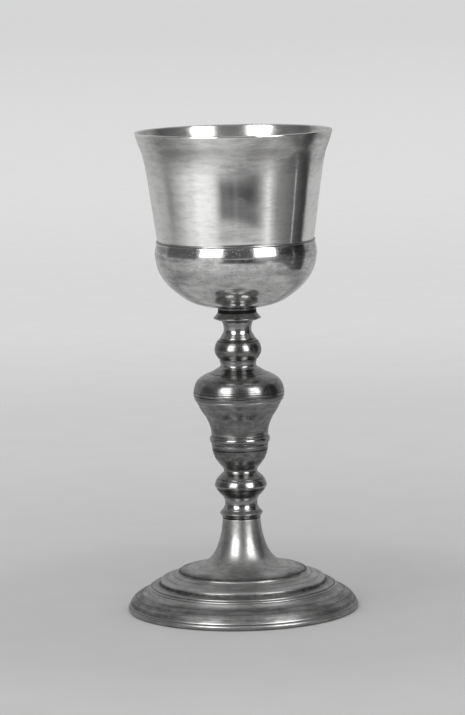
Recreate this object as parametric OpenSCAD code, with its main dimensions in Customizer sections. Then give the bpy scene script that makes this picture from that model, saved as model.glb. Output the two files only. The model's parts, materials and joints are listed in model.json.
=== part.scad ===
// Communion chalice: a spun cup in a calyx, a turned baluster stem and a stepped, hollow foot.
// Every piece is threaded on one tie rod and clamped by a nut inside the foot.
// +Z is up, and the origin is the centre of the face that the foot stands on. Millimetres.

/* [Cup] */
// Diameter across the lip
mouth_d = 98; // [88:0.5:106]
// Height of the cup, from the calyx's underside to the lip
cup_h = 87.5; // [78:0.5:98]
// Height of the calyx, which covers the lower part of the cup
calyx_h = 32.7; // [29:0.1:37]
// Diameter of the calyx at its widest
calyx_d = 80.6; // [74:0.2:84]
// Thickness of the cup's wall
cup_wall = 1.2; // [1:0.1:1.6]
// Thickness of the calyx's sheet
calyx_wall = 0.8; // [0.6:0.1:1.1]

/* [Stem] */
// Diameter of the collar's knife edge, under the calyx
top_collar_d = 23.8; // [22:0.2:27]
// Height of that collar
top_collar_h = 7.6; // [7:0.1:9]
// Diameter of the upper neck at its ends
upper_neck_d = 17.6; // [16:0.2:20]
// Height of the upper neck
upper_neck_h = 8; // [7:0.1:10]
// Diameter of the small ball
upper_knop_d = 23.5; // [21:0.1:27]
// Height of the small ball
upper_knop_h = 11.9; // [10:0.1:14]
// Height of the short spool over the main knop
knop_spool_h = 3.1; // [2.5:0.1:4]
// Diameter of the main knop
knop_d = 45.5; // [40:0.5:52]
// Height of the main knop's upper shell
knop_upper_h = 15.4; // [13:0.1:18]
// Height of the main knop's lower shell
knop_lower_h = 17.3; // [15:0.1:20]
// Thickness of the knop's two shells
knop_wall = 1.3; // [1:0.1:1.8]
// Diameter of the raised band on the baluster
band_d = 30.2; // [27:0.2:34]
// Height of that band
band_h = 5.6; // [5:0.1:7]
// Height of the baluster
baluster_h = 12.8; // [11:0.1:15]
// Diameter of the lower ring knop at its sharp edge
ring_knop_d = 26.2; // [24:0.2:30]
// Height of the lower ring knop
ring_knop_h = 13.7; // [12:0.1:16]
// Diameter of the lower neck at its foot
lower_neck_d = 18.6; // [17:0.2:21]
// Height of the lower neck
lower_neck_h = 6; // [5:0.1:8]

/* [Foot] */
// Diameter of the foot
foot_d = 115.6; // [104:0.2:128]
// Height of the foot, up to the flared collar
foot_h = 46; // [42:0.5:50]
// Diameter of the flared collar on top of the foot
foot_collar_d = 21.6; // [20:0.2:25]
// Height of that collar
foot_collar_h = 4.5; // [4:0.1:6]
// Thickness of the foot's sheet
foot_wall = 1.2; // [1:0.1:1.6]
// Height of the ring under the flange
edge_ring_h = 2.9; // [2.4:0.1:3.4]
// Diameter of each of the two bead wires on the foot
bead_wire_d = 1.1; // [0.8:0.1:1.3]

/* [Tie rod and nut] */
// Diameter of the tie rod
rod_d = 6; // [5:0.5:6]
// Height of the rod's lower end over the surface that the foot stands on
rod_end_z = 31; // [29:0.5:33]
// Width of the nut across its flats
nut_flats = 10; // [9:0.5:11]
// Height of the nut
nut_h = 5; // [4:0.5:5.5]
// Diameter of the washer
washer_d = 12; // [11:0.5:13]
// Thickness of the washer
washer_t = 1.2; // [1:0.1:1.6]
// Thickness of the plate inside the top of the foot
foot_plate_t = 1.6; // [1.2:0.1:2]

/* [Hidden] */
$fn = 120;
steps = 6;                  // straight pieces in each stretch of a smooth outline

rod_r = rod_d / 2;
bore_r = rod_r + 0.1;       // clearance hole for the rod in every stem piece
nut_bore_r = rod_r + 0.05;  // running fit of the nut on the thread
washer_bore_r = rod_r + 0.2;
seam_h = 0.6;               // the wire between the knop's shells
boss_r = 8;
boss_h = 3.1;
rod_in_boss = 2.6;
rim_wire_h = 1;
rod_chamfer = 0.6;
ridge_part = 0.796;         // the cup's radius at the ridge, as a part of its radius at the lip

// Levels of the stack, from the foot up. Each piece stands on the one before it.
foot_collar_z = foot_h;
lower_neck_z = foot_collar_z + foot_collar_h;
ring_knop_z = lower_neck_z + lower_neck_h;
baluster_z = ring_knop_z + ring_knop_h;
band_z = baluster_z + baluster_h;
knop_lower_z = band_z + band_h;
seam_z = knop_lower_z + knop_lower_h;
knop_upper_z = seam_z + seam_h;
knop_spool_z = knop_upper_z + knop_upper_h;
upper_knop_z = knop_spool_z + knop_spool_h;
upper_neck_z = upper_knop_z + upper_knop_h;
top_collar_z = upper_neck_z + upper_neck_h;
cup_z = top_collar_z + top_collar_h;
ridge_z = cup_z + calyx_h;
lip_z = cup_z + cup_h;
cup_base_z = cup_z + calyx_wall;
boss_z = cup_base_z - boss_h;
foot_plate_z = foot_h - foot_wall - foot_plate_t;
washer_z = foot_plate_z - washer_t;
nut_z = washer_z - nut_h;

// A smooth curve through the points p.
function between(a, b, c, d, t) =
    0.5 * (2 * b + (c - a) * t + (2 * a - 5 * b + 4 * c - d) * t * t
           + (3 * b - a - 3 * c + d) * t * t * t);
function smooth(p) = concat(
    [for (i = [0 : len(p) - 2], k = [0 : steps - 1])
        between(p[max(i - 1, 0)], p[i], p[i + 1], p[min(i + 2, len(p) - 1)], k / steps)],
    [p[len(p) - 1]]);

// The outline p moved by t towards its inner side. Outlines run from the top down.
function along(p, i) = p[min(i + 1, len(p) - 1)] - p[max(i - 1, 0)];
function inward(p, t) = [for (i = [0 : len(p) - 1])
    let (d = along(p, i)) p[i] + [d[1], -d[0]] * t / norm(d)];

// An outline given as parts of a radius and parts of a height, set on the level z.
function sized(p, r, h, z) = [for (q = p) [q[0] * r, z + q[1] * h]];

// Half a circle outside the line from p to q, turning anticlockwise.
function half_round(p, q) = let (c = (p + q) / 2, v = p - c)
    [for (a = [0 : 22.5 : 180]) c + [v[0] * cos(a) - v[1] * sin(a), v[0] * sin(a) + v[1] * cos(a)]];

function above(p, z) = [for (q = p) if (q[1] > z) q];
function below(p, z) = [for (q = p) if (q[1] < z) q];
function without_ends(p) = [for (i = [1 : len(p) - 2]) p[i]];
function backwards(p) = [for (i = [len(p) - 1 : -1 : 0]) p[i]];

// A turned piece with a hole for the rod. Its outline runs from the top down.
module turned(outline, hole = bore_r) {
    top = outline[0][1];
    low = outline[len(outline) - 1][1];
    rotate_extrude() polygon(concat(outline, [[hole, low], [hole, top]]));
}

// Outlines shared by the cup, the calyx and the foot

mouth_r = mouth_d / 2;
ridge_r = ridge_part * mouth_r;
wire_top_z = ridge_z + rim_wire_h;
upper_cup_h = lip_z - cup_wall / 2 - wire_top_z;
upper_cup = concat(smooth(sized([
    [1, 1], [0.97, 0.91], [0.933, 0.82], [0.908, 0.72], [0.876, 0.54], [0.835, 0.26],
    [ridge_part, 0]], mouth_r, upper_cup_h, wire_top_z)), [[ridge_r, ridge_z]]);
lower_cup = concat(smooth(sized([
    [0.978, 1], [1, 0.83], [0.975, 0.63], [0.93, 0.5], [0.843, 0.35], [0.717, 0.21],
    [0.558, 0.085], [0.37, 0.015], [0.25, 0]], calyx_d / 2, calyx_h, cup_z)),
    [[boss_r, cup_z]]);

foot_r = foot_d / 2;
trumpet = smooth(sized([
    [0.163, 1], [0.168, 0.935], [0.181, 0.83], [0.201, 0.739], [0.228, 0.652], [0.265, 0.578],
    [0.317, 0.52], [0.377, 0.483], [0.441, 0.461], [0.498, 0.446]], foot_r, foot_h, 0));
dome_edge = sized([[0.543, 0.433], [0.559, 0.417]], foot_r, foot_h, 0);
cove_step = smooth(sized([
    [0.564, 0.404], [0.614, 0.376], [0.666, 0.354], [0.702, 0.341], [0.715, 0.326]],
    foot_r, foot_h, 0));
cove = smooth(sized([[0.718, 0.307], [0.732, 0.285], [0.756, 0.276]], foot_r, foot_h, 0));
bead_seat = sized([[0.765, 0.276], [0.815, 0.239]], foot_r, foot_h, 0);
bead_drop = sized([[0.822, 0.228], [0.837, 0.207]], foot_r, foot_h, 0);
flange = smooth(concat(sized([
    [0.851, 0.2], [0.893, 0.183], [0.938, 0.15], [0.972, 0.104]], foot_r, foot_h, 0),
    [[0.986 * foot_r, edge_ring_h]]));
foot_outside = concat(trumpet, dome_edge, cove_step, cove, bead_seat, bead_drop, flange);
foot_inside_top = [0.163 * foot_r - foot_wall, foot_h - foot_wall];
foot_inside = smooth(concat([foot_inside_top], sized([
    [0.16, 0.83], [0.18, 0.733], [0.209, 0.639], [0.249, 0.559], [0.306, 0.496], [0.37, 0.457],
    [0.436, 0.435], [0.512, 0.409], [0.561, 0.374], [0.664, 0.328], [0.699, 0.265],
    [0.758, 0.248], [0.799, 0.211], [0.827, 0.174], [0.884, 0.154], [0.924, 0.126],
    [0.952, 0.091]], foot_r, foot_h, 0), [[0.963 * foot_r, edge_ring_h]]));

// Cup and calyx

module cup() {
    outside = concat(upper_cup, inward(lower_cup, calyx_wall));
    upper_inside = inward(upper_cup, cup_wall);
    inside = concat(above(upper_inside, ridge_z + 3),
                    below(inward(lower_cup, calyx_wall + cup_wall), ridge_z - 2));
    color("silver") rotate_extrude() polygon(concat(
        outside, [[0, cup_base_z], [0, cup_base_z + cup_wall]], backwards(inside),
        backwards(without_ends(half_round(upper_cup[0], upper_inside[0])))));
}

module calyx() {
    color("darkgray") rotate_extrude()
        polygon(concat(lower_cup, backwards(inward(lower_cup, calyx_wall))));
}

module calyx_rim_wire() {
    color("dimgray") rotate_extrude()
        polygon(half_round([ridge_r, ridge_z], [ridge_r, wire_top_z]));
}

module cup_boss() {
    color("darkgray") rotate_extrude() polygon([
        [0, cup_base_z], [boss_r, cup_base_z], [boss_r, boss_z], [rod_r, boss_z],
        [rod_r, boss_z + rod_in_boss], [0, boss_z + rod_in_boss]]);
}

// Stem, from the top down

module top_collar() {
    outline = concat(
        smooth(sized([[0.815, 1], [0.807, 0.75], [0.832, 0.59], [0.924, 0.395], [1, 0.29]],
                     top_collar_d / 2, top_collar_h, top_collar_z)),
        smooth(sized([[1, 0.245], [0.824, 0.13], [0.69, 0.066], [0.647, 0]],
                     top_collar_d / 2, top_collar_h, top_collar_z)));
    color("dimgray") rotate_extrude() polygon(concat(outline, [
        [bore_r, top_collar_z], [bore_r, boss_z], [boss_r, boss_z], [boss_r, cup_z]]));
}

module upper_neck() {
    color("gray") turned(smooth(sized([
        [0.875, 1], [0.812, 0.8], [0.786, 0.55], [0.818, 0.36], [0.909, 0.17], [1, 0]],
        upper_neck_d / 2, upper_neck_h, upper_neck_z)));
}

module upper_knop() {
    ball = smooth(sized([
        [0.79, 0.94], [0.877, 0.857], [0.945, 0.74], [0.98, 0.62], [1, 0.49], [0.975, 0.36],
        [0.911, 0.235], [0.84, 0.13]], upper_knop_d / 2, upper_knop_h, upper_knop_z));
    fillets = sized([[0.757, 1], [0.757, 0.94], [0.8, 0.13], [0.783, 0]],
                    upper_knop_d / 2, upper_knop_h, upper_knop_z);
    color("gray") turned(concat([fillets[0], fillets[1]], ball, [fillets[2], fillets[3]]));
}

module knop_spool() {
    color("dimgray") turned(smooth(sized([
        [0.78, 1], [0.76, 0.68], [0.762, 0.39], [0.8, 0.16], [0.85, 0]],
        upper_knop_d / 2, knop_spool_h, knop_spool_z)));
}

module main_knop_upper() {
    outline = smooth(sized([
        [0.45, 1], [0.6, 0.864], [0.745, 0.773], [0.852, 0.675], [0.912, 0.591],
        [0.95, 0.5], [0.974, 0.409], [0.992, 0.312], [1, 0.208], [0.997, 0.11],
        [0.978, 0]], knop_d / 2, knop_upper_h, knop_upper_z));
    under_top_z = knop_spool_z - knop_wall;
    inside = below(inward(outline, knop_wall), under_top_z - 0.2);
    last = [outline[len(outline) - 1][0] - knop_wall, knop_upper_z];
    color("dimgray") rotate_extrude() polygon(concat(
        outline, [last], backwards(above(inside, knop_upper_z + 0.2)),
        [[bore_r, under_top_z], [bore_r, knop_spool_z]]));
}

module knop_seam_wire() {
    seat_r = 0.962 * knop_d / 2;
    ring_in = seat_r - knop_wall;
    color("silver") rotate_extrude() polygon(concat(
        [[ring_in, knop_upper_z], [ring_in, seam_z]],
        half_round([seat_r, seam_z], [seat_r, knop_upper_z])));
}

module main_knop_lower() {
    outline = smooth(sized([
        [0.958, 1], [0.938, 0.948], [0.9, 0.861], [0.868, 0.775], [0.827, 0.682],
        [0.782, 0.595], [0.741, 0.514], [0.708, 0.428], [0.677, 0.335], [0.655, 0.249],
        [0.637, 0.162], [0.628, 0.081], [0.628, 0]],
        knop_d / 2, knop_lower_h, knop_lower_z));
    over_base_z = knop_lower_z + knop_wall;
    inside = above(inward(outline, knop_wall), over_base_z + 0.2);
    first = [outline[0][0] - knop_wall, seam_z];
    color("dimgray") rotate_extrude() polygon(concat(
        outline, [[bore_r, knop_lower_z], [bore_r, over_base_z],
        [inside[len(inside) - 1][0], over_base_z]],
        backwards(below(inside, seam_z - 0.2)), [first]));
}

module baluster_band() {
    color("gray") turned(concat(
        sized([[0.947, 1], [0.947, 0.86]], band_d / 2, band_h, band_z),
        smooth(sized([[0.96, 0.82], [0.993, 0.68], [1, 0.5], [0.985, 0.36], [0.955, 0.27]],
                     band_d / 2, band_h, band_z)),
        sized([[0.94, 0.22], [0.94, 0]], band_d / 2, band_h, band_z)));
}

module baluster() {
    color("dimgray") turned(smooth(sized([
        [0.94, 1], [0.921, 0.845], [0.901, 0.725], [0.861, 0.595], [0.815, 0.47],
        [0.752, 0.36], [0.685, 0.25], [0.609, 0.14], [0.566, 0.06], [0.556, 0]],
        band_d / 2, baluster_h, baluster_z)));
}

module lower_ring_knop() {
    upper_side = smooth(sized([
        [0.656, 0.93], [0.71, 0.885], [0.828, 0.781], [0.924, 0.664], [0.973, 0.555], [1, 0.45]],
        ring_knop_d / 2, ring_knop_h, ring_knop_z));
    lower_side = smooth(sized([
        [0.985, 0.416], [0.939, 0.336], [0.866, 0.226], [0.76, 0.11], [0.69, 0.05], [0.668, 0]],
        ring_knop_d / 2, ring_knop_h, ring_knop_z));
    color("gray") turned(concat(
        sized([[0.641, 1]], ring_knop_d / 2, ring_knop_h, ring_knop_z), upper_side, lower_side));
}

module lower_neck() {
    color("dimgray") turned(smooth(sized([
        [0.941, 1], [0.885, 0.79], [0.871, 0.5], [0.914, 0.23], [1, 0]],
        lower_neck_d / 2, lower_neck_h, lower_neck_z)));
}

module foot_collar() {
    color("gray") turned(concat(
        smooth(sized([[0.861, 1], [0.89, 0.92], [0.945, 0.76], [1, 0.62]],
                     foot_collar_d / 2, foot_collar_h, foot_collar_z)),
        smooth(sized([[0.99, 0.54], [0.926, 0.31], [0.889, 0.13], [0.88, 0]],
                     foot_collar_d / 2, foot_collar_h, foot_collar_z))));
}

// Foot

module foot_shell() {
    color("gray") rotate_extrude() polygon(concat(
        foot_outside, backwards(foot_inside),
        [[bore_r, foot_h - foot_wall], [bore_r, foot_h]]));
}

module foot_bead_wires() {
    seat = (bead_seat[1] - bead_seat[0]) / norm(bead_seat[1] - bead_seat[0]);
    pitch = norm(bead_seat[1] - bead_seat[0]) / 2;
    color("silver") for (i = [0, 1]) {
        centre = bead_seat[0] + seat * pitch * (i + 0.5);
        rotate_extrude()
            polygon(half_round(centre + seat * bead_wire_d / 2, centre - seat * bead_wire_d / 2));
    }
}

module foot_edge_ring() {
    round_r = edge_ring_h / 2;
    ring_in = 0.945 * foot_r;
    color("silver") rotate_extrude() polygon(concat(
        [[ring_in, edge_ring_h], [ring_in, 0]],
        half_round([foot_r - round_r, 0], [foot_r - round_r, edge_ring_h])));
}

// Inside the foot

module ring(outer_r, hole_r, low, thickness) {
    translate([0, 0, low]) difference() {
        cylinder(r = outer_r, h = thickness);
        translate([0, 0, -1]) cylinder(r = hole_r, h = thickness + 2);
    }
}

module foot_plate() {
    color("darkgray") ring(foot_inside_top[0] - 0.1, bore_r, foot_plate_z, foot_plate_t);
}

module tie_rod() {
    top = boss_z + rod_in_boss;
    color("lightgray") rotate_extrude() polygon([
        [0, rod_end_z], [rod_r - rod_chamfer, rod_end_z], [rod_r, rod_end_z + rod_chamfer],
        [rod_r, top], [0, top]]);
}

module washer() {
    color("lightgray") ring(washer_d / 2, washer_bore_r, washer_z, washer_t);
}

module retaining_nut() {
    corner_r = nut_flats / 2 / cos(30);
    color("goldenrod") translate([0, 0, nut_z]) difference() {
        cylinder(r = corner_r, h = nut_h, $fn = 6);
        translate([0, 0, -1]) cylinder(r = nut_bore_r, h = nut_h + 2);
    }
}

cup();
calyx();
calyx_rim_wire();
cup_boss();
top_collar();
upper_neck();
upper_knop();
knop_spool();
main_knop_upper();
knop_seam_wire();
main_knop_lower();
baluster_band();
baluster();
lower_ring_knop();
lower_neck();
foot_collar();
foot_shell();
foot_bead_wires();
foot_edge_ring();
foot_plate();
tie_rod();
washer();
retaining_nut();
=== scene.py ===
"""Looks of the communion chalice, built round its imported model. Metres, in the model's own frame."""

import json
import math

import bpy
import numpy as np
from mathutils import Euler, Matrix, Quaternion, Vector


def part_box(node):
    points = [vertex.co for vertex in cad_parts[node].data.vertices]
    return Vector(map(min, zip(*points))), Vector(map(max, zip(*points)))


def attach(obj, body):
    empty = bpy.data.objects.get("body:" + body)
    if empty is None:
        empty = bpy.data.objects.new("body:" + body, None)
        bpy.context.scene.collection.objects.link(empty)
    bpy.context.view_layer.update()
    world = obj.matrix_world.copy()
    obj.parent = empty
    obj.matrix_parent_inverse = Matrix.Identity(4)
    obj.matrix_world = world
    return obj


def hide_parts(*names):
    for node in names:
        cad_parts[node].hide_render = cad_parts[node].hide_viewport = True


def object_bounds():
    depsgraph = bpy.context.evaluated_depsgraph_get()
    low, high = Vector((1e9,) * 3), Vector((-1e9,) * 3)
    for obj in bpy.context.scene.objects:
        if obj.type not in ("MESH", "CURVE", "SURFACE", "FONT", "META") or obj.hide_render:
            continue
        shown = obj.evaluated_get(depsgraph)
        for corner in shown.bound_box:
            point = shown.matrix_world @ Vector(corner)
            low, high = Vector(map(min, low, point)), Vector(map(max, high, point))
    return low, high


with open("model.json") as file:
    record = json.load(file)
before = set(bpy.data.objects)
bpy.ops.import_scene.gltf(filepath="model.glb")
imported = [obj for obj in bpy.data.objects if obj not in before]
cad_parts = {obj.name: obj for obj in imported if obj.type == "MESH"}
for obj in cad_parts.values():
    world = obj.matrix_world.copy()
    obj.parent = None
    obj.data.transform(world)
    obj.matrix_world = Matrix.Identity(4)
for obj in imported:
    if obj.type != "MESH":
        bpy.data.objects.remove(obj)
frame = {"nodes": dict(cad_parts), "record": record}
cad_low, cad_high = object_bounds()

MM = 0.001
TINY = 1e-9                      # keeps a zero length from being divided by
HEIGHT = cad_high.z - cad_low.z
LIP_Z = cad_high.z
random = np.random.default_rng(240)

PARTS = {part["node"]: part for part in frame["record"]["subparts"]}
BODY_OF = {node: "root" for node in PARTS}
BODY_OF.update(washer="washer", retaining_nut="nut")


# ---------------------------------------------------------------- camera

CAMERA_BACK = 6.766 * HEIGHT     # level distance from the stem's axis to the camera
CAMERA_UP = 1.4194 * HEIGHT      # height of the camera over the floor
CAMERA_DOWN = 7.503              # degrees that the camera looks down
CAMERA_ROLL = -1.25              # degrees that it leans about its line of sight
CAMERA_SIDE = -0.0117 * HEIGHT   # the stem stands a little right of the picture's middle
CAMERA_LENS = 165.5              # millimetres, for a sensor with a long side of 36


def make_camera():
    data = bpy.data.cameras.new("camera")
    data.lens = CAMERA_LENS
    data.clip_end = 60
    camera = bpy.data.objects.new("camera", data)
    bpy.context.scene.collection.objects.link(camera)
    camera.location = (CAMERA_SIDE, -CAMERA_BACK, CAMERA_UP)
    level = Euler((math.radians(90 - CAMERA_DOWN), 0, 0)).to_quaternion()
    camera.rotation_mode = "QUATERNION"
    camera.rotation_quaternion = level @ Quaternion((0, 0, 1), math.radians(CAMERA_ROLL))
    bpy.context.scene.camera = camera


# ---------------------------------------------------------------- outlines of the turned nodes

CORNER = math.radians(33)        # a sharper turn than this is an edge, and gets a small rounding
OFF_PLANE = 2e-6                 # how far a point of the half-plane may lie off it
NEAR_AXIS = 9 * MM               # a loop that stays closer than this is a fastening or a small bore
SOLID_ON_AXIS = ("cup", "cup_boss", "tie_rod")


def neighbours(mesh, spots, number):
    """Which of the distinct spots in the half-plane y = 0 are joined by an edge of the mesh."""
    seam = (np.abs(spots[:, 1]) < OFF_PLANE) & (spots[:, 0] > -1e-7)
    near = {}
    for edge in mesh.edges:
        a, b = (int(number[v]) for v in edge.vertices)
        if a != b and seam[a] and seam[b]:
            near.setdefault(a, set()).add(b)
            near.setdefault(b, set()).add(a)
    return near


def seam_loops(node):
    """A turned node's loops in its half-plane y = 0, as arrays of (radius, height), axis included."""
    mesh = frame["nodes"][node].data
    points = np.array([v.co[:] for v in mesh.vertices])
    spots, number = np.unique(np.round(points, 6), axis=0, return_inverse=True)
    near = neighbours(mesh, spots, number.ravel())
    left = set(near)
    loops = []
    while left:
        ends = [k for k in left if len(near[k]) < 2]
        chain = [min(ends) if ends else min(left)]
        left.discard(chain[0])
        while near[chain[-1]] & left:
            chain.append(min(near[chain[-1]] & left))
            left.discard(chain[-1])
        loop = spots[chain][:, [0, 2]]
        if ends and loop[:, 0].min() < NEAR_AXIS and node in SOLID_ON_AXIS:
            loop = np.vstack([[0, loop[0, 1]], loop, [0, loop[-1, 1]]])
        loops.append(anticlockwise(loop))
    return loops



def anticlockwise(loop):
    r, z = loop[:, 0], loop[:, 1]
    area = np.sum(r * np.roll(z, -1) - np.roll(r, -1) * z)
    return loop if area > 0 else loop[::-1]


def turns(points):
    """How sharply a closed line of points turns at each of them, in radians."""
    before = points - np.roll(points, 1, 0)
    after = np.roll(points, -1, 0) - points
    cross = before[:, 0] * after[:, 1] - before[:, 1] * after[:, 0]
    dot = np.sum(before * after, 1)
    return np.arctan2(cross, dot)


def curve_through(points, step):
    """A centripetal Catmull-Rom curve through the points, ends included, a step apart."""
    if len(points) < 3:
        count = max(1, round(np.linalg.norm(points[-1] - points[0]) / step))
        share = np.linspace(0, 1, count + 1)[:, None]
        return points[0] * (1 - share) + points[-1] * share
    p = np.vstack([2 * points[0] - points[1], points, 2 * points[-1] - points[-2]])
    out = [points[0]]
    for a, b, c, d in zip(p, p[1:], p[2:], p[3:]):
        knots = [0.0]
        for u, v in ((a, b), (b, c), (c, d)):
            knots.append(knots[-1] + max(np.linalg.norm(v - u), TINY) ** 0.5)
        t0, t1, t2, t3 = knots
        count = max(1, math.ceil(np.linalg.norm(c - b) / step - 0.35))
        for t in np.linspace(t1, t2, count + 1)[1:]:
            ab = a + (b - a) * (t - t0) / (t1 - t0)
            bc = b + (c - b) * (t - t1) / (t2 - t1)
            cd = c + (d - c) * (t - t2) / (t3 - t2)
            abc = ab + (bc - ab) * (t - t0) / (t2 - t0)
            bcd = bc + (cd - bc) * (t - t1) / (t3 - t1)
            out.append(abc + (bcd - abc) * (t - t1) / (t2 - t1))
    return np.array(out)


# a worn edge, in shares of how far it is cut back: where its flanks start, how far its crown is
# below the old corner, and the stretch in which it takes the place of the outline's own points
FLANK, CROWN, CLEARED = 2.6, 0.32, 3.2


def rounded(before, corner, after, reach):
    """The few points that stand for a worn edge: it is cut back by reach on both sides."""
    a = (before - corner) / np.linalg.norm(before - corner)
    b = (after - corner) / np.linalg.norm(after - corner)
    return [corner + a * FLANK * reach, corner + a * reach, corner + (a + b) * CROWN * reach,
            corner + b * reach, corner + b * FLANK * reach]


def drop_close(points, least):
    kept = [points[0]]
    for p in points[1:]:
        if np.linalg.norm(p - kept[-1]) > least:
            kept.append(p)
    if len(kept) > 2 and np.linalg.norm(kept[-1] - kept[0]) < least:
        kept.pop()
    return np.array(kept)


def fine_outline(loop, step, wear):
    """The loop redrawn as smooth curves between its edges, with the edges slightly rounded."""
    points = drop_close(loop, 0.03 * MM)
    on_axis = points[:, 0] < 1e-7
    sharp = (np.abs(turns(points)) > CORNER) | on_axis
    if not sharp.any():
        ring = np.vstack([points, points[:1]])
        return curve_through(ring, step)[:-1]
    first = int(np.argmax(sharp))
    points, sharp, on_axis = (np.roll(x, -first, 0) for x in (points, sharp, on_axis))
    marks = [int(k) for k in np.flatnonzero(sharp)] + [len(points)]
    points = np.vstack([points, points[:1]])
    on_axis = np.append(on_axis, on_axis[0])
    stretches = [curve_through(points[a:b + 1], step) for a, b in zip(marks, marks[1:])]
    out = []
    for k, stretch in enumerate(stretches):
        if on_axis[marks[k]] and on_axis[marks[k + 1]]:
            out.append(stretch[-1])        # along the axis itself there is no surface
            continue
        last = stretches[k - 1]
        gap = min(np.linalg.norm(last[-1] - last[0]), np.linalg.norm(stretch[-1] - stretch[0]))
        cut = min(wear, 0.16 * gap)
        if on_axis[marks[k]]:
            out.append(stretch[0])
        else:
            out.extend(rounded(last[-2], stretch[0], stretch[1], cut))
        body = stretch[1:-1]
        far = ((np.linalg.norm(body - stretch[0], axis=1) > CLEARED * cut)
               & (np.linalg.norm(body - stretch[-1], axis=1) > CLEARED * cut))
        out.extend(body[far])
    return drop_close(np.array(out), 0.01 * MM)


def lengths(points):
    """How far along the outline each point lies."""
    return np.append(0, np.cumsum(np.linalg.norm(np.diff(points, axis=0), axis=1)))


def normals(points):
    """The outward direction at each point of an anticlockwise closed line."""
    a = points - np.roll(points, 1, 0)
    b = np.roll(points, -1, 0) - points
    a /= np.maximum(np.linalg.norm(a, axis=1), TINY)[:, None]
    b /= np.maximum(np.linalg.norm(b, axis=1), TINY)[:, None]
    along = a + b
    along /= np.maximum(np.linalg.norm(along, axis=1), TINY)[:, None]
    return np.stack([along[:, 1], -along[:, 0]], 1)


# A turner's line: where it lies as shares of the node's box (outward, upward), its half width
# and how far it stands out, both in millimetres. A negative one is cut in.
TURNED_LINES = {
    "main_knop_upper": [(1.0, 0.32, 0.16, -0.05), (1.0, 0.25, 0.2, -0.08), (1.0, 0.13, 0.22, -0.1),
                        (0.72, 0.80, 0.25, 0.08), (0.66, 0.87, 0.25, -0.1)],
    "main_knop_lower": [(0.9, 0.86, 0.22, -0.06), (0.55, 0.12, 0.2, -0.08), (0.6, 0.25, 0.2, -0.06)],
    "baluster_band": [(0.95, 0.24, 0.25, 0.1), (0.95, 0.42, 0.22, -0.1)],
    "baluster": [(1.0, 0.86, 0.25, -0.1), (0.95, 0.66, 0.25, 0.06)],
    "lower_ring_knop": [(0.85, 0.68, 0.2, -0.1), (0.9, 0.60, 0.2, 0.06), (0.9, 0.34, 0.22, -0.1)],
    "upper_knop": [(0.86, 0.87, 0.22, -0.1), (0.8, 0.16, 0.22, -0.1)],
    "top_collar": [(0.75, 0.62, 0.2, -0.08)],
    "foot_shell": [(0.615, 0.36, 0.4, -0.04), (0.68, 0.345, 0.4, -0.03), (0.72, 0.33, 0.25, 0.05),
                   (0.585, 0.375, 0.22, 0.04), (0.897, 0.168, 0.5, -0.03), (0.955, 0.12, 0.5, -0.02)],
}
LINE_SHAPE = (-1.7, -1.0, -0.5, 0, 0.5, 1.0, 1.7)    # where it gets points, in half widths
LINE_SHARPNESS = 1.6             # how steeply its sides fall away


def spot_in(node, outward, upward):
    """A point of the half-plane, from shares of the node's box."""
    low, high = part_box(node)
    return np.array([outward * high.x, low.z + upward * (high.z - low.z)])


def with_lines(points, node):
    """The outline with its fine turned lines."""
    for outward, upward, half, out in TURNED_LINES.get(node, ()):
        spot = spot_in(node, outward, upward)
        here = normals(points)
        distance = np.linalg.norm(points - spot, axis=1) + np.where(here[:, 0] > -0.2, 0, 1)
        nearest = int(np.argmin(distance))
        along = lengths(points)
        middle = along[nearest]
        if middle < 4 * half * MM or middle > along[-1] - 4 * half * MM:
            continue
        places = middle + np.array(LINE_SHAPE) * half * MM
        outside = (along < places[0]) | (along > places[-1])
        every = np.sort(np.append(along[outside], places))
        redrawn = np.stack([np.interp(every, along, points[:, k]) for k in (0, 1)], 1)
        lift = out * MM * np.exp(-((every - middle) / (half * MM)) ** 2 * LINE_SHARPNESS)
        points = redrawn + normals(redrawn) * lift[:, None]
    return points


# ---------------------------------------------------------------- how deep each outline point lies

OFF_SURFACE = 0.04 * MM          # where the rays start
WIDEST_RAY = 72                  # degrees from straight out
NEAR_REACH = 2.5 * MM            # metal this close makes a narrow hollow
WIDE_REACH = 9 * MM              # and this close a wide one
NEAR_PART, WIDE_PART = 0.75, 0.5    # what each of them adds to how hollow a place is
BEND_WIDTH = 0.35 * MM
SHARPEST_BEND = 1.6              # from here on an edge counts as fully worn
ROOT_OF_PI = 1.77


def cover(points, facing, segments, reach, rays=9):
    """Share of the open half circle round each outline point that metal closer than reach takes."""
    start = points + facing * OFF_SURFACE
    a, b = segments[:, :2], segments[:, 2:]
    edge = b - a
    total = np.zeros(len(points))
    for turn in np.radians(np.linspace(-WIDEST_RAY, WIDEST_RAY, rays)):
        c, s = math.cos(turn), math.sin(turn)
        ray = np.stack([facing[:, 0] * c - facing[:, 1] * s,
                        facing[:, 0] * s + facing[:, 1] * c], 1)
        cross = ray[:, None, 0] * edge[None, :, 1] - ray[:, None, 1] * edge[None, :, 0]
        cross = np.where(np.abs(cross) < 1e-12, 1e-12, cross)
        gap = a[None] - start[:, None]
        t = (gap[..., 0] * edge[None, :, 1] - gap[..., 1] * edge[None, :, 0]) / cross
        u = (gap[..., 0] * ray[:, None, 1] - gap[..., 1] * ray[:, None, 0]) / cross
        hit = (t > 0) & (t < reach) & (u >= -1e-6) & (u <= 1 + 1e-6)
        nearest = np.where(hit, t, reach).min(1)
        total += 1 - nearest / reach
    return total / rays


def bends(points, width):
    """How strongly the outline turns outwards at each point, per millimetre, over a short width."""
    along = lengths(points)
    turn = turns(points)
    out = np.zeros(len(points))
    for k in range(len(points)):
        weight = np.exp(-((along - along[k]) / width) ** 2)
        out[k] = np.sum(weight * turn) / (width / MM * ROOT_OF_PI)
    return out


# ---------------------------------------------------------------- turned pieces

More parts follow.
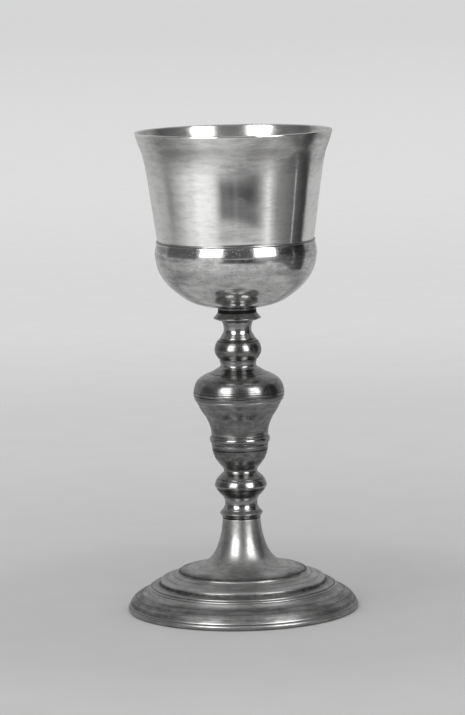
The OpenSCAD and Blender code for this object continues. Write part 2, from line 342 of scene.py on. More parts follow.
class Unevenness:
    """Slow waves over a turned surface: nothing that was hammered or turned by hand is quite true."""

    def __init__(self, size, waves=9, finest=9, shortest=9 * MM):
        self.size = size
        self.around = random.integers(1, finest, waves)
        self.shift = random.uniform(0, 2 * math.pi, (2, waves))
        self.length = random.uniform(shortest, 5 * shortest, waves)
        self.part = random.uniform(0.4, 1, waves)
        self.part /= np.sqrt(np.sum(self.part ** 2) / 2)

    def at(self, angle, along):
        total = 0
        for k in range(len(self.around)):
            around = np.cos(self.around[k] * angle + self.shift[0, k])
            up = np.cos(2 * math.pi * along / self.length[k] + self.shift[1, k])
            total = total + self.part[k] * around * up
        return self.size * total


def circle(count):
    """That many angles, evenly spaced round the axis."""
    return np.arange(count) * 2 * math.pi / count


def ring_at(angle, radius, height):
    """A ring of points round the axis, with one radius and height or one for each angle."""
    height = np.broadcast_to(height, len(angle))
    return np.stack([radius * np.cos(angle), radius * np.sin(angle), height], 1)


def faces_between(here, many, after, more):
    """The faces between two rings of points, either of which may be one point on the axis."""
    for i in range(max(many, more)):
        j = (i + 1) % max(many, more)
        if many == 1:
            yield (here, after + j, after + i)
        elif more == 1:
            yield (here + i, here + j, after)
        else:
            yield (here + i, here + j, after + j, after + i)


def skin(name, loops):
    """A mesh over closed loops of rings, each (its points, along, hollow and painted shade, edge). A
    ring of one point lies on the axis."""
    vertices, faces = [], []
    stored = {"along": [], "hollow": [], "edge": []}
    for rings in loops:
        starts = []
        for points, *values in rings:
            starts.append((len(vertices), len(points)))
            vertices.extend(tuple(map(float, p)) for p in points)
            for label, value in zip(stored, values):
                stored[label].extend(np.broadcast_to(value, len(points)))
        for (here, many), (after, more) in zip(starts, starts[1:] + starts[:1]):
            if many > 1 or more > 1:
                faces.extend(faces_between(here, many, after, more))
    mesh = bpy.data.meshes.new(name)
    mesh.from_pydata(vertices, [], faces)
    for label, values in stored.items():
        layer = mesh.attributes.new(label, "FLOAT", "POINT")
        layer.data.foreach_set("value", np.array(values, np.float32))
    mesh.shade_smooth()
    mesh.update()
    piece = bpy.data.objects.new(name, mesh)
    bpy.context.scene.collection.objects.link(piece)
    return piece


def spin(name, outlines, segments, uneven):
    """A turned piece from its outlines, with what its materials read stored at its vertices."""
    angle = circle(segments)
    loops = []
    for points, hollow, edge in outlines:
        facing = normals(points)
        along = lengths(points)
        rings = []
        for k, (r, z) in enumerate(points):
            if r < 1e-7:
                rings.append(([(0, 0, z)], along[k], hollow[k], edge[k]))
                continue
            push = uneven.at(angle, along[k])
            ring = ring_at(angle, r + facing[k, 0] * push, z + facing[k, 1] * push)
            rings.append((ring, along[k], hollow[k], edge[k]))
        loops.append(rings)
    return skin(name, loops)


# name: (step of the outline in mm, wear of the edges in mm, segments, unevenness in mm)
TURNED = {
    "cup": (1.0, 0.2, 256, 0.012),
    "calyx": (0.8, 0.16, 256, 0.02),
    "calyx_rim_wire": (0.3, 0.15, 256, 0.03),
    "cup_boss": (0.8, 0.2, 96, 0.005),
    "top_collar": (0.4, 0.1, 160, 0.02),
    "upper_neck": (0.5, 0.1, 160, 0.02),
    "upper_knop": (0.4, 0.1, 160, 0.025),
    "knop_spool": (0.3, 0.1, 160, 0.015),
    "main_knop_upper": (0.5, 0.12, 224, 0.035),
    "knop_seam_wire": (0.2, 0.1, 224, 0.02),
    "main_knop_lower": (0.5, 0.12, 224, 0.03),
    "baluster_band": (0.4, 0.1, 192, 0.02),
    "baluster": (0.4, 0.1, 192, 0.02),
    "lower_ring_knop": (0.4, 0.1, 192, 0.02),
    "lower_neck": (0.4, 0.1, 160, 0.015),
    "foot_collar": (0.4, 0.1, 160, 0.015),
    "foot_shell": (0.6, 0.13, 256, 0.03),
    "foot_bead_wires": (0.25, 0.1, 256, 0.02),
    "foot_edge_ring": (0.4, 0.18, 256, 0.03),
    "foot_plate": (0.8, 0.15, 128, 0.01),
    "washer": (0.4, 0.12, 96, 0.008),
}


# how much darker or lighter a piece is than the others of its material: partly tarnish, partly painted
# shade and painted reflection for what the piece mirrors
TARNISH_AND_PAINTED_LIGHT = {
    "upper_neck": -0.8, "knop_spool": -0.6, "upper_knop": 0.28, "main_knop_upper": 0.2,
    "main_knop_lower": 0.08, "baluster": 0.3, "lower_ring_knop": -0.05, "lower_neck": -0.5,
    "foot_collar": 0.1, "foot_edge_ring": 0.12,
}
# painted shade and some dirt: bands blackened, as shares of the node's height (lowest, highest) and
# how black, in creases, on undersides and over dimmed highlights; below 0 the band is a painted
# lighter one, a painted reflection
GRIME_AND_PAINTED_SHADE = {
    "top_collar": ((0.62, 0.83, 1.4),),
    "calyx_rim_wire": ((0.0, 0.25, 1.2),),
    "calyx": ((0.76, 1.0, 0.4),),
    "main_knop_upper": ((0.66, 1.0, -0.55),),
    "main_knop_lower": ((0.7, 1.0, -0.18),),
    "baluster_band": ((0.84, 1.0, 0.7), (0.0, 0.2, 0.7)),
    "baluster": ((0.0, 0.25, -0.3),),
    "lower_ring_knop": ((0.58, 1.0, -0.35), (0.0, 0.36, 0.75)),
    "foot_collar": ((0.0, 0.12, 1.2),),
    "foot_shell": ((0.222, 0.268, 0.92), (0.366, 0.393, 1.0), (0.0, 0.05, 0.7), (0.05, 0.13, 0.5)),
}
SOFT_END = 0.06                  # how softly such a band ends, as a share of its own height,
LEAST_SOFT_END = 0.02            # and what is added to that, as a share of the node's height
DIRT_IN_LINES = 9                # how black a cut line gets for each millimetre of its depth
DIRT_REACH = 1.2                 # how far that spreads, in half widths of the line


def with_grime_and_painted_shade(hollow, points, node):
    """The hollows with the node's painted-shade bands, the dirt in its cut lines, and its tarnish and
    painted tone offset added.
    """
    low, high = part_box(node)
    share = (points[:, 1] - low.z) / (high.z - low.z)
    # painted shade: each band blackens its stretch; a band below 0 is painted lighter, a painted
    # reflection
    for a, b, black in GRIME_AND_PAINTED_SHADE.get(node, ()):
        soft = SOFT_END * (b - a) + LEAST_SOFT_END
        inside = np.clip((share - a) / soft, 0, 1) * np.clip((b - share) / soft + 1, 0, 1)
        hollow = np.maximum(hollow, black * inside) if black > 0 else hollow + black * inside
    for outward, upward, half, out in TURNED_LINES.get(node, ()):
        if out > 0:
            continue
        spot = spot_in(node, outward, upward)
        nearest = points[np.argmin(np.linalg.norm(points - spot, axis=1))]
        away = np.linalg.norm(points - nearest, axis=1) / (DIRT_REACH * half * MM)
        hollow = hollow - DIRT_IN_LINES * out * np.exp(-away ** 2)
    return hollow + TARNISH_AND_PAINTED_LIGHT.get(node, 0.0)


def smooth_loops(node):
    step, wear = TURNED[node][:2]
    loops = [fine_outline(loop, step * MM, wear * MM) for loop in seam_loops(node)]
    return [with_lines(loop, node) if loop[:, 0].max() > NEAR_AXIS else loop for loop in loops]


def shaded(loop, node, segments):
    """An outline, with how hollow it is plus its painted shade, and how sharp it is, at each of its
    points.
    """
    near = cover(loop, normals(loop), segments, NEAR_REACH)
    wide = cover(loop, normals(loop), segments, WIDE_REACH)
    hollow = with_grime_and_painted_shade(np.clip(NEAR_PART * near + WIDE_PART * wide, 0, 1), loop, node)
    edge = np.clip(bends(loop, BEND_WIDTH) / SHARPEST_BEND, 0, 1)
    return loop, hollow, edge


def make_turned_pieces():
    shapes = {node: smooth_loops(node) for node in TURNED}
    every = [loop for loops in shapes.values() for loop in loops]
    segments = np.vstack([np.hstack([loop, np.roll(loop, -1, 0)]) for loop in every])
    pieces = {}
    for node, loops in shapes.items():
        count, uneven = TURNED[node][2:]
        outlines = [shaded(loop, node, segments) for loop in loops]
        pieces[node] = spin("look_" + node, outlines, count, Unevenness(uneven * MM))
    return pieces


# ---------------------------------------------------------------- tie rod and nut

PITCH = 1.0 * MM                 # of the thread on the rod and in the nut
THREAD_TOP = 50 * MM             # the rod is threaded from its lower end to here
THREAD_DEPTH = 0.5 * MM
ROD_BEVEL = 0.6 * MM
NUT_HOLE = 3.05 * MM             # the nut's smallest opening, and how much wider its thread goes
NUT_THREAD = 0.3 * MM
NUT_MOUTH = 0.35 * MM
NUT_SHOULDER = 0.95              # the round face's radius, as a share of the distance to a flat
NUT_SLOPE = math.tan(math.radians(30))
# shares of a flat's height that get a ring, and how worn the corners are there
NUT_LEVELS = {0.0: 0.6, 0.04: 0.1, 0.2: 0.1, 0.5: 0.1, 0.8: 0.1, 0.96: 0.1, 1.0: 0.6}


def thread_profile(angle, z):
    """0 at the thread's root and 1 at its crest, for a right-hand thread."""
    phase = (z / PITCH - angle / (2 * math.pi)) % 1.0
    return np.clip(1.35 - np.abs(2 * phase - 1) * 1.7, 0, 1)


def make_rod():
    low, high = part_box("tie_rod")
    radius = high.x
    angle = circle(96)
    rings = [([(0, 0, low.z)], 0, 0, 0)]
    for z in np.arange(low.z, THREAD_TOP, PITCH / 11):
        crest = thread_profile(angle, z)
        fading = np.clip((THREAD_TOP - z) / (2 * PITCH), 0, 1)
        bevel = radius - ROD_BEVEL + (z - low.z)
        r = np.minimum(radius - THREAD_DEPTH * fading * (1 - crest), bevel)
        rings.append((ring_at(angle, r, z), z, 0.9 * (1 - crest) * fading, crest * 0.6))
    for z in (THREAD_TOP, high.z):
        rings.append((ring_at(angle, radius, z), z, 0.2, 0))
    rings.append(([(0, 0, high.z)], high.z, 0.2, 0))
    return skin("look_tie_rod", [rings])


def make_nut():
    """A hexagon nut with turned-off corners at both ends and a threaded hole."""
    low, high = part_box("retaining_nut")
    corner = high.x
    flat = corner * math.cos(math.pi / 6)
    shoulder = NUT_SHOULDER * flat
    angle = circle(240)
    outer = flat / np.cos(angle % (math.pi / 3) - math.pi / 6)
    outer = np.minimum(outer, corner - 0.06 * MM)
    bevel = (outer - shoulder) * NUT_SLOPE
    rings = []

    def add(r, z, hollow, edge=0.0):
        ring = ring_at(angle, r, z)
        rings.append((ring, np.linalg.norm(ring[0]), hollow, edge))

    for share, edge in NUT_LEVELS.items():
        add(outer, (low.z + bevel) * (1 - share) + (high.z - bevel) * share, 0.1, edge)
    add(shoulder, high.z, 0.1, 0.4)
    add(NUT_HOLE + 1.5 * NUT_MOUTH, high.z, 0.2)
    add(NUT_HOLE + NUT_MOUTH, high.z, 0.3)
    for z in np.arange(high.z - NUT_MOUTH, low.z + NUT_MOUTH, -PITCH / 9):
        crest = thread_profile(angle, z)
        add(NUT_HOLE + NUT_THREAD * crest, z, 0.5 + 0.4 * crest)
    add(NUT_HOLE + NUT_MOUTH, low.z, 0.3)
    add(NUT_HOLE + 1.5 * NUT_MOUTH, low.z, 0.2)
    add(shoulder, low.z, 0.1, 0.4)
    return skin("look_retaining_nut", [rings])


def place(pieces):
    for node, piece in pieces.items():
        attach(piece, BODY_OF[node])
        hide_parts(node)


# ---------------------------------------------------------------- materials

def grey(value, warmth=0.0):
    return (value * (1 + warmth), value, value * (1 - 1.4 * warmth))


class Nodes:
    """A node tree, written as short calls."""

    def __init__(self, owner, output):
        owner.use_nodes = True
        self.tree = owner.node_tree
        self.tree.nodes.clear()
        self.output = self.add(output).inputs[0]

    def add(self, kind, **settings):
        node = self.tree.nodes.new("ShaderNode" + kind)
        for key, value in settings.items():
            setattr(node, key, value)
        return node

    def link(self, out, into):
        self.tree.links.new(out, into)

    def put(self, value, into):
        if isinstance(value, bpy.types.NodeSocket):
            self.link(value, into)
        else:
            into.default_value = value

    def maths(self, operation, *values, clamp=False):
        node = self.add("Math", operation=operation, use_clamp=clamp)
        for value, socket in zip(values, node.inputs):
            self.put(value, socket)
        return node.outputs[0]

    def vector(self, operation, *values, scale=None):
        node = self.add("VectorMath", operation=operation)
        for value, socket in zip(values, node.inputs):
            self.put(value, socket)
        if scale is not None:
            self.put(scale, node.inputs["Scale"])
        return node.outputs["Value" if operation == "LENGTH" else "Vector"]

    def ramp(self, value, low, high, to_low=0.0, to_high=1.0, shape="SMOOTHSTEP"):
        node = self.add("MapRange", interpolation_type=shape)
        for number, socket in zip((value, low, high, to_low, to_high), node.inputs):
            self.put(number, socket)
        return node.outputs[0]

    def noise(self, where, scale=1.0, detail=3.0, rough=0.5, twist=0.0):
        node = self.add("TexNoise")
        self.put(where, node.inputs["Vector"])
        settings = {"Scale": scale, "Detail": detail, "Roughness": rough, "Distortion": twist}
        for key, value in settings.items():
            node.inputs[key].default_value = value
        return node.outputs["Fac"]

    def stored(self, name):
        return self.add("Attribute", attribute_name=name).outputs["Fac"]

    def height(self, where):
        node = self.add("SeparateXYZ")
        self.put(where, node.inputs[0])
        return node.outputs["Z"]

    def mix(self, share, one, two):
        node = self.add("Mix", data_type="RGBA")
        self.put(share, node.inputs["Factor"])
        sockets = [s for s in node.inputs if s.type == "RGBA"]
        for colour, socket in zip((one, two), sockets):
            self.put(colour if isinstance(colour, bpy.types.NodeSocket) else (*colour, 1), socket)
        return [s for s in node.outputs if s.type == "RGBA"][0]

    def either(self, share, one, two):
        """One shader where the share is 0, the other where it is 1."""
        node = self.add("MixShader")
        for value, socket in zip((share, one, two), node.inputs):
            self.put(value, socket)
        return node.outputs[0]


def new_material(name):
    material = bpy.data.materials.new(name)
    return material, Nodes(material, "OutputMaterial")


def new_surface(name):
    material, n = new_material(name)
    shader = n.add("BsdfPrincipled")
    n.link(shader.outputs[0], n.output)
    return material, n, shader.inputs


# what a metal has unless its own entry says otherwise. light, dark: colours when clean and when
# tarnished. rough: likewise. stretch: how far its turning marks draw reflections out. hollow, cloud,
# streak, edge: what tarnish and painted shade gather in, and is rubbed off. Reliefs (pit, wave) in
# micrometres.
PLAIN = dict(hollow=1.0, cloud=0.5, streak=0.5, edge=0.6, specks=0.3, speck_size=0.5, pit=10, wave=3,
             tarnish_start=0.35, band=None)
SCRATCH = 2.8                    # depth of a hairline scratch in micrometres
# where the stored hollow and painted shade value starts and finishes turning the colour black
GRIME_AND_SHADE_STARTS, GRIME_AND_SHADE_FULL = 0.75, 1.2
BLACK = grey(0.02)


def lathe_marks(n, round_axis, around, per_metre, **settings):
    """A pattern that runs round the axis, as a lathe's or a polisher's marks do."""
    up = n.add("CombineXYZ")
    n.put(n.stored("along"), up.inputs["Z"])
    where = n.vector("ADD", n.vector("SCALE", round_axis, scale=around),
                     n.vector("SCALE", up.outputs[0], scale=per_metre))
    return n.noise(where, **settings)


def pits(n, where, specks, size):
    cells = n.add("TexVoronoi", feature="F1")
    n.put(where, cells.inputs["Vector"])
    cells.inputs["Scale"].default_value = 1 / (size * 2.2 * MM)
    spot = n.ramp(cells.outputs["Distance"], 0.12, 0.3, 1.0, 0.0)
    crowded = n.noise(where, scale=150, detail=4.0)
    rare = n.ramp(crowded, 0.58 - 0.12 * specks, 0.72 - 0.12 * specks)
    return n.maths("MULTIPLY", spot, rare)


def hairlines(n, where, round_axis):
    at = n.vector("ADD", n.vector("MULTIPLY", where, (260, 260, 900)),
                  n.vector("SCALE", round_axis, scale=-180))
    off_line = n.maths("ABSOLUTE", n.maths("SUBTRACT", n.noise(at, detail=1.0), 0.5))
    line = n.ramp(off_line, 0.0, 0.012, 1.0, 0.0)
    return n.maths("MULTIPLY", line, n.ramp(n.noise(where, scale=130, detail=2.0), 0.5, 0.62))


def tarnish_and_shade_in(n, where, look, clouds, polish, grime, spots):
    """How tarnished each place is, with the painted shade stored in its hollow value, from 0 to 1."""
    tarnish_and_shade = n.maths("MULTIPLY", n.stored("hollow"), look["hollow"])
    shares = ((clouds, look["cloud"]), (polish, look["streak"]), (grime, 0.35 * look["cloud"]))
    for value, share in shares:
        shifted = n.maths("SUBTRACT", value, 0.5)
        tarnish_and_shade = n.maths("MULTIPLY_ADD", shifted, 2.2 * share, tarnish_and_shade)
    tarnish_and_shade = n.maths("MULTIPLY_ADD", n.stored("edge"), -look["edge"], tarnish_and_shade)
    # band: patchy darkening that rises from the lower height to full at the higher one and above it
    if look["band"]:
        low, high, more = look["band"]
        inside = n.ramp(n.height(where), low, high)
        patchy = n.ramp(n.noise(where, scale=22, detail=3.0), 0.35, 0.62)
        tarnish_and_shade = n.maths("MULTIPLY_ADD", n.maths("MULTIPLY", inside, patchy), more, tarnish_and_shade)
    tarnish_and_shade = n.maths("ADD", tarnish_and_shade, look["tarnish_start"], clamp=True)
    return n.maths("MAXIMUM", tarnish_and_shade, n.maths("MULTIPLY", spots, look["specks"]), clamp=True)


def worn_metal(name, light, dark, rough, rough_tarnished, stretch, **own):
    """Turned metal: turning lines, polish streaks, tarnish clouds in the hollows, pits, black grime
    and painted shade, painted lighter bands, and hairline scratches."""
    look = {**PLAIN, **own}
    material, n, surface = new_surface(name)
    where = n.add("TexCoord").outputs["Object"]
    round_axis = n.vector("NORMALIZE", n.vector("MULTIPLY", where, (1, 1, 0)))
    turning = lathe_marks(n, round_axis, 1.3, 1500, detail=2.0, rough=0.6)
    polish = lathe_marks(n, round_axis, 4.0, 420, detail=5.0, rough=0.62, twist=0.4)
    clouds = n.noise(where, scale=75, detail=6.0, rough=0.6, twist=0.3)
    grime = n.noise(where, scale=420, detail=4.0, rough=0.65)
    spots = pits(n, where, look["specks"], look["speck_size"])
    hair = hairlines(n, where, round_axis)
    tarnish_and_shade = tarnish_and_shade_in(n, where, look, clouds, polish, grime, spots)

    # black: dirt in the deepest hollows, and painted shade where the node's bands push the stored
    # value up
    uneven = n.maths("MULTIPLY_ADD", n.maths("SUBTRACT", grime, 0.5), 0.5, n.stored("hollow"))
    black = n.ramp(uneven, GRIME_AND_SHADE_STARTS, GRIME_AND_SHADE_FULL)
    n.put(n.mix(black, n.mix(tarnish_and_shade, light, dark), BLACK), surface["Base Color"])
    roughness = n.ramp(tarnish_and_shade, 0.0, 1.0, rough, rough_tarnished)
    roughness = n.maths("MULTIPLY_ADD", black, 0.3, roughness)
    n.put(n.maths("MULTIPLY_ADD", hair, 0.1, roughness), surface["Roughness"])
    surface["Metallic"].default_value = 1.0
    if stretch:
        surface["Anisotropic"].default_value = stretch
        surface["Anisotropic Rotation"].default_value = 0.25
        tangent = n.add("Tangent", direction_type="RADIAL", axis="Z")
        n.put(tangent.outputs[0], surface["Tangent"])

    relief = n.maths("MULTIPLY", turning, look["wave"])
    relief = n.maths("MULTIPLY_ADD", clouds, 2.0 * look["wave"], relief)
    relief = n.maths("MULTIPLY_ADD", spots, -look["pit"], relief)
    relief = n.maths("MULTIPLY_ADD", hair, -SCRATCH, relief)
    bump = n.add("Bump")
    bump.inputs["Strength"].default_value = 1.0
    bump.inputs["Distance"].default_value = 1e-6
    n.put(relief, bump.inputs["Height"])
    n.put(bump.outputs[0], surface["Normal"])
    return material


MATERIALS = {
    "polished_silver_plate": dict(light=grey(0.9, 0.004), dark=grey(0.42, 0.01), rough=0.1,
                                  rough_tarnished=0.26, stretch=0.5, hollow=0.35, cloud=0.4,
                                  streak=0.6, specks=0.3, tarnish_start=0.05, wave=3, pit=4,
                                  band=(LIP_Z - 26 * MM, LIP_Z - 8 * MM, 0.85)),
    "pitted_silver_plate": dict(light=grey(0.78, 0.004), dark=grey(0.1, 0.01), rough=0.11,
                                rough_tarnished=0.19, stretch=0.2, hollow=0.6, cloud=0.36,
                                streak=0.6, specks=1.8, speck_size=0.34, pit=30, wave=5,
                                tarnish_start=0.2),
    "worn_edge_plate": dict(light=grey(0.42, 0.004), dark=grey(0.1, 0.01), rough=0.3,
                            rough_tarnished=0.5, stretch=0, hollow=1.2, cloud=0.7, streak=0.4,
                            edge=0.3, specks=0.3, tarnish_start=0.25),
    "tarnished_stem_plate": dict(light=grey(0.36, 0.004), dark=grey(0.07, 0.01), rough=0.17,
                                 rough_tarnished=0.3, stretch=0.2, hollow=0.6, cloud=0.5,
                                 streak=0.6, specks=0.5, tarnish_start=0.42, pit=14),
    "tarnished_foot_plate": dict(light=grey(0.48, 0.004), dark=grey(0.12, 0.01), rough=0.34,
                                 rough_tarnished=0.5, stretch=0.4, hollow=0.9, cloud=0.5,
                                 streak=0.6, specks=0.5, tarnish_start=0.25, pit=14),
    "raw_brass_inside": dict(light=(0.75, 0.56, 0.27), dark=(0.28, 0.2, 0.11), rough=0.35,
                             rough_tarnished=0.55, stretch=0, hollow=0.5, cloud=0.7, streak=0.6,
                             specks=0.4, tarnish_start=0.3),
    "rod_steel": dict(light=grey(0.42), dark=(0.16, 0.11, 0.08), rough=0.32,
                      rough_tarnished=0.6, stretch=0, hollow=0.8, cloud=0.7, streak=0.3,
                      specks=0.7, tarnish_start=0.25),
    "nut_brass": dict(light=(0.78, 0.57, 0.25), dark=(0.3, 0.2, 0.1), rough=0.28,
                      rough_tarnished=0.5, stretch=0, hollow=0.6, cloud=0.6, streak=0.2,
                      specks=0.4, tarnish_start=0.2),
    # partly painted shade: the rim wire is made darker to stand for the shade along the ridge
    "dull_shaded_rim_wire": dict(light=grey(0.34), dark=grey(0.08), rough=0.25, rough_tarnished=0.4,
                          stretch=0, hollow=1.2, cloud=0.6, streak=0.3, specks=0.4,
                          tarnish_start=0.3),
}
# pieces with their own darker material: the rim wire's is partly wear, partly painted shade of the
# crease along the calyx's ridge
WORN_AND_SHADED_AS = {"calyx_rim_wire": "dull_shaded_rim_wire"}


def dress(pieces):
    made = {name: worn_metal(name, **look) for name, look in MATERIALS.items()}
    for node, piece in pieces.items():
        slot = PARTS[node]["material_slot"]
        piece.data.materials.append(made[WORN_AND_SHADED_AS.get(node, slot)])


# ---------------------------------------------------------------- studio

def mirrored_glow():
    """What the room's cards are made of: each point's brightness and cover are stored in the mesh."""
    material, n = new_material("mirrored_glow")
    light = n.add("Emission")
    n.put(n.stored("strength"), light.inputs["Strength"])
    clear = n.add("BsdfTransparent").outputs[0]
    n.link(n.either(n.stored("cover"), clear, light.outputs[0]), n.output)
    return material


def only_mirrored(obj):
    """Something of the room that only shows as a reflection in the metal."""
    obj.visible_camera = False
    obj.visible_diffuse = False
    obj.visible_shadow = False
    obj.visible_transmission = False
    obj.visible_volume_scatter = False


def smooth(share):
    """From 0 to 1 as the share goes from 0 to 1, with soft ends."""
    share = np.clip(share, 0, 1)
    return share * share * (3 - 2 * share)


def fade(share, soft):
    """1 in the middle of a stretch from 0 to 1, falling smoothly to 0 at its two ends."""
    return smooth(np.minimum(share, 1 - share) / max(soft, 1e-6))


def sheet(name, grid, strength, cover):
    """A glowing sheet through a grid of points (rows, columns, 3)."""
    rows, columns = grid.shape[:2]
    mesh = bpy.data.meshes.new(name)
    number = np.arange(rows * columns).reshape(rows, columns)
    faces = np.stack([number[:-1, :-1], number[:-1, 1:], number[1:, 1:], number[1:, :-1]], -1)
    mesh.from_pydata([tuple(map(float, v)) for v in grid.reshape(-1, 3)], [],
                     faces.reshape(-1, 4).tolist())
    for label, values in (("strength", strength), ("cover", cover)):
        layer = mesh.attributes.new(label, "FLOAT", "POINT")
        values = np.broadcast_to(values, (rows, columns)).astype(np.float32)
        layer.data.foreach_set("value", values.ravel())
    mesh.materials.append(bpy.data.materials.get("mirrored_glow") or mirrored_glow())
    obj = bpy.data.objects.new(name, mesh)
    bpy.context.scene.collection.objects.link(obj)
    only_mirrored(obj)


def upright(name, turns_, distance, heights, strength, soft):
    """A curved card round the chalice. Turns are degrees from the camera's side, right positive.
    Its two strengths are those of its left and right edges."""
    share = np.linspace(0, 1, CARD_STEPS + 1)
    angle = np.radians(np.interp(share, (0, 1), turns_))
    high = np.interp(share, (0, 1), heights)
    grid = np.stack(np.broadcast_arrays(distance * np.sin(angle), -distance * np.cos(angle),
                                        high[:, None]), -1)
    cover = fade(share, soft[0])[None] * fade(share, soft[1])[:, None]
    sheet(name, grid, np.interp(share, (0, 1), strength)[None], cover)


def board(name, base, height, strength):
    """A card that stands on the floor along a line of level points, with a strength at each."""
    base = np.array(base)
    along = lengths(base)
    every = np.linspace(0, along[-1], BOARD_STEPS + 1)
    x, y, glow = (np.interp(every, along, v) for v in (base[:, 0], base[:, 1], strength))
    high = np.linspace(0, height, 19)[:, None]
    grid = np.stack(np.broadcast_arrays(x, y, high), -1)
    cover = np.clip((height - high) / (0.1 * height), 0, 1) * fade(every / along[-1], 0.03)
    glow = glow * np.interp(high, *BOARD_DIMS)
    sheet(name, grid, np.maximum(glow, BOARD_LEAST), cover)


CARD_STEPS = 24
# name: (from, to in degrees), distance, (lowest, highest) in metres, (strengths), (soft edges)
CARDS = {
    "left_softbox": ((-53, -18), 0.80, (0.26, 0.84), (7.0, 7.0), (0.14, 0.08)),
    "right_softbox": ((25, 59), 0.80, (0.21, 0.84), (6.6, 6.6), (0.16, 0.08)),
    "under_left_softbox": ((-57, -16), 0.82, (-0.04, 0.42), (0.95, 0.8), (0.15, 0.1)),
    "under_right_softbox": ((24, 62), 0.82, (-0.04, 0.36), (0.5, 0.5), (0.2, 0.1)),
    "left_wall": ((-116, -58), 1.9, (0.0, 1.0), (0.19, 0.13), (0.04, 0.1)),
    "left_back_wall": ((-181, -112), 1.9, (0.0, 2.2), (0.5, 0.46), (0.02, 0.1)),
    "right_back_wall": ((114, 181), 1.9, (0.0, 2.2), (0.4, 0.5), (0.02, 0.1)),
    "right_strip": ((84.6, 87.2), 0.37, (0.04, 0.27), (0.5, 0.5), (0.3, 0.1)),
}
# the dark board on the right: level points along its base, and its strength at each of them
BOARD = (((0.50, -0.335), (0.47, -0.16), (0.37, -0.02), (0.385, 0.06), (0.37, 0.165)),
         (0.27, 0.19, 0.12, 0.05, 0.05))
BOARD_HEIGHT = 0.36
BOARD_STEPS = 12
BOARD_DIMS = ((0.12, 0.2), (1.0, 0.3))    # between these heights it dims to this share
BOARD_LEAST = 0.03
# how bright the floor looks in the metal: turn in degrees, close to the chalice, further off
FLOOR_GLOW = (
    (-180, 0.50, 0.50), (-140, 0.50, 0.50), (-120, 0.43, 0.43), (-100, 0.40, 0.40),
    (-86, 0.42, 0.44), (-78, 0.50, 0.52), (-68, 0.62, 0.70), (-60, 0.70, 0.78), (-55, 0.78, 0.88),
    (-50, 0.84, 0.98), (-42, 0.86, 0.96), (-33, 0.84, 0.90), (-28, 0.78, 0.80), (-25, 0.72, 0.62),
    (-22, 0.72, 0.43), (-17, 0.70, 0.13), (-8, 0.68, 0.11), (-4, 0.66, 0.07), (1, 0.66, 0.14),
    (6, 0.66, 0.06), (19, 0.66, 0.04), (25, 0.68, 0.06), (30, 0.68, 0.14), (36, 0.70, 0.34),
    (42, 0.74, 0.68), (46, 0.80, 0.86), (50, 0.72, 0.62), (53, 0.65, 0.45), (58, 0.60, 0.30),
    (70, 0.50, 0.30), (90, 0.45, 0.30), (110, 0.42, 0.40), (125, 0.45, 0.50), (180, 0.50, 0.50))
DARK_STARTS = 0.550              # metres from the stem to where the floor in front gets dark
DARK_EDGE = 0.022                # half the width over which it gets dark
# the floor close to the foot is darker: distances and shares
FOOT_SHADE = ((0.2, 0.36, 0.5), (0.56, 0.80, 1.0))
# a dark spot at the left: its turn and half width in degrees, distance and half width in metres
SPOT_TURN, SPOT_WIDE, SPOT_AT, SPOT_DEEP, SPOT_DARK = -97, 9, 0.86, 0.16, 0.45
# how bright the room is at the height of the chalice and overhead, and where it changes
ROOM_LEVEL, ROOM_OVERHEAD = 0.12, 0.42
ROOM_RISES = (0.3, 0.85)


def mirrored_floor():
    """The floor as the metal mirrors it, brighter and darker where the room lights and shades it."""
    turn, close, far = np.array(FLOOR_GLOW).T
    angle = np.linspace(-180, 180, 241)
    reach = np.concatenate([np.linspace(0.16, 0.7, 37), np.geomspace(0.75, 3.4, 12)])[:, None]
    share = smooth((reach - DARK_STARTS + DARK_EDGE) / (2 * DARK_EDGE))
    strength = np.interp(angle, turn, close) * (1 - share) + np.interp(angle, turn, far) * share
    strength = strength * np.interp(reach, *FOOT_SHADE)
    spot = np.exp(-((angle - SPOT_TURN) / SPOT_WIDE) ** 2 - ((reach - SPOT_AT) / SPOT_DEEP) ** 2)
    strength = strength * (1 - SPOT_DARK * spot)
    cover = np.clip((reach - 0.17) / 0.08, 0, 1) * np.clip((3.3 - reach) / 1.2, 0, 1)
    radians = np.radians(angle)
    grid = np.broadcast_arrays(reach * np.sin(radians), -reach * np.cos(radians), 2 * MM)
    sheet("mirrored_floor", np.stack(grid, -1), strength, cover)


def background(n, brightness):
    node = n.add("Background")
    node.inputs["Color"].default_value = (*grey(brightness), 1)
    return node


def make_room():
    """A pale backdrop for the camera, an even light for the floor, a dim room for the metal."""
    world = bpy.data.worlds.new("room")
    bpy.context.scene.world = world
    world.cycles.sampling_method = "NONE"
    n = Nodes(world, "OutputWorld")
    seen, mirrored, ambient = background(n, 0.66), background(n, 1.0), background(n, 0.62)
    rise = n.ramp(n.height(n.add("TexCoord").outputs["Generated"]), *ROOM_RISES,
                  ROOM_LEVEL, ROOM_OVERHEAD, shape="LINEAR")
    n.link(rise, mirrored.inputs["Strength"])
    ray = n.add("LightPath").outputs
    lit = n.either(ray["Is Diffuse Ray"], mirrored.outputs[0], ambient.outputs[0])
    n.link(n.either(ray["Is Camera Ray"], lit, seen.outputs[0]), n.output)


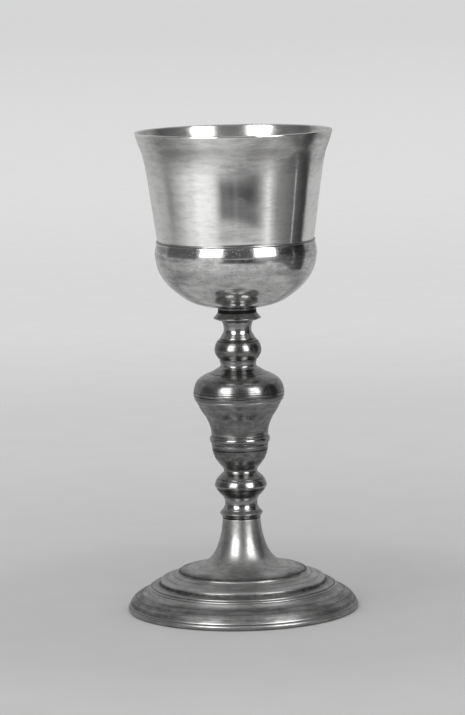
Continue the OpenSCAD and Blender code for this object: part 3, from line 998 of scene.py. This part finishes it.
def make_studio():
    for name, values in CARDS.items():
        upright(name, *values)
    board("dark_board", BOARD[0], BOARD_HEIGHT, BOARD[1])
    mirrored_floor()
    make_room()
    sun = bpy.data.lights.new("soft_key", "SUN")
    sun.energy = 0.9
    sun.angle = math.radians(75)
    key = bpy.data.objects.new("soft_key", sun)
    bpy.context.scene.collection.objects.link(key)
    key.rotation_euler = (math.radians(38), math.radians(-18), 0)
    key.visible_glossy = False


# painted shadow: how light the floor's paper is painted at each distance from the stem, in metres,
# darkest close to the foot
FLOOR_TONES_PAINTED_SHADOW = ((0.0, 0.56), (0.12, 0.58), (0.23, 0.64), (0.54, 0.70), (1.2, 0.82), (2.6, 0.87),
               (9.0, 0.80))
FLOOR_REACH = 40.0


def make_floor():
    mesh = bpy.data.meshes.new("floor")
    z = cad_low.z - 0.05 * MM
    corners = [(x * FLOOR_REACH, y * FLOOR_REACH, z) for x, y in ((-1, -1), (1, -1), (1, 1), (-1, 1))]
    mesh.from_pydata(corners, [], [(0, 1, 2, 3)])
    floor = bpy.data.objects.new("floor", mesh)
    bpy.context.scene.collection.objects.link(floor)
    material, n, surface = new_surface("floor_paper")
    where = n.add("TexCoord").outputs["Object"]
    far = n.vector("LENGTH", n.vector("MULTIPLY", where, (1, 1, 0)))
    # painted shadow: the floor's tone is darker round the chalice and lighter further off
    tone = FLOOR_TONES_PAINTED_SHADOW[0][1]
    for (r0, t0), (r1, t1) in zip(FLOOR_TONES_PAINTED_SHADOW, FLOOR_TONES_PAINTED_SHADOW[1:]):
        tone = n.maths("ADD", tone, n.ramp(far, r0, r1, 0.0, t1 - t0))
    mottle = n.noise(where, scale=30, detail=5.0, rough=0.6)
    tone = n.maths("MULTIPLY_ADD", n.maths("SUBTRACT", mottle, 0.5), 0.05, tone)
    colour = n.add("CombineXYZ")
    for socket in colour.inputs:
        n.put(tone, socket)
    n.put(colour.outputs[0], surface["Base Color"])
    surface["Roughness"].default_value = 0.9
    surface["Specular IOR Level"].default_value = 0.0
    mesh.materials.append(material)


# ---------------------------------------------------------------- the scene

make_camera()
pieces = make_turned_pieces()
pieces.update(tie_rod=make_rod(), retaining_nut=make_nut())
place(pieces)
dress(pieces)
make_studio()
make_floor()
bpy.context.scene.view_settings.view_transform = "Standard"
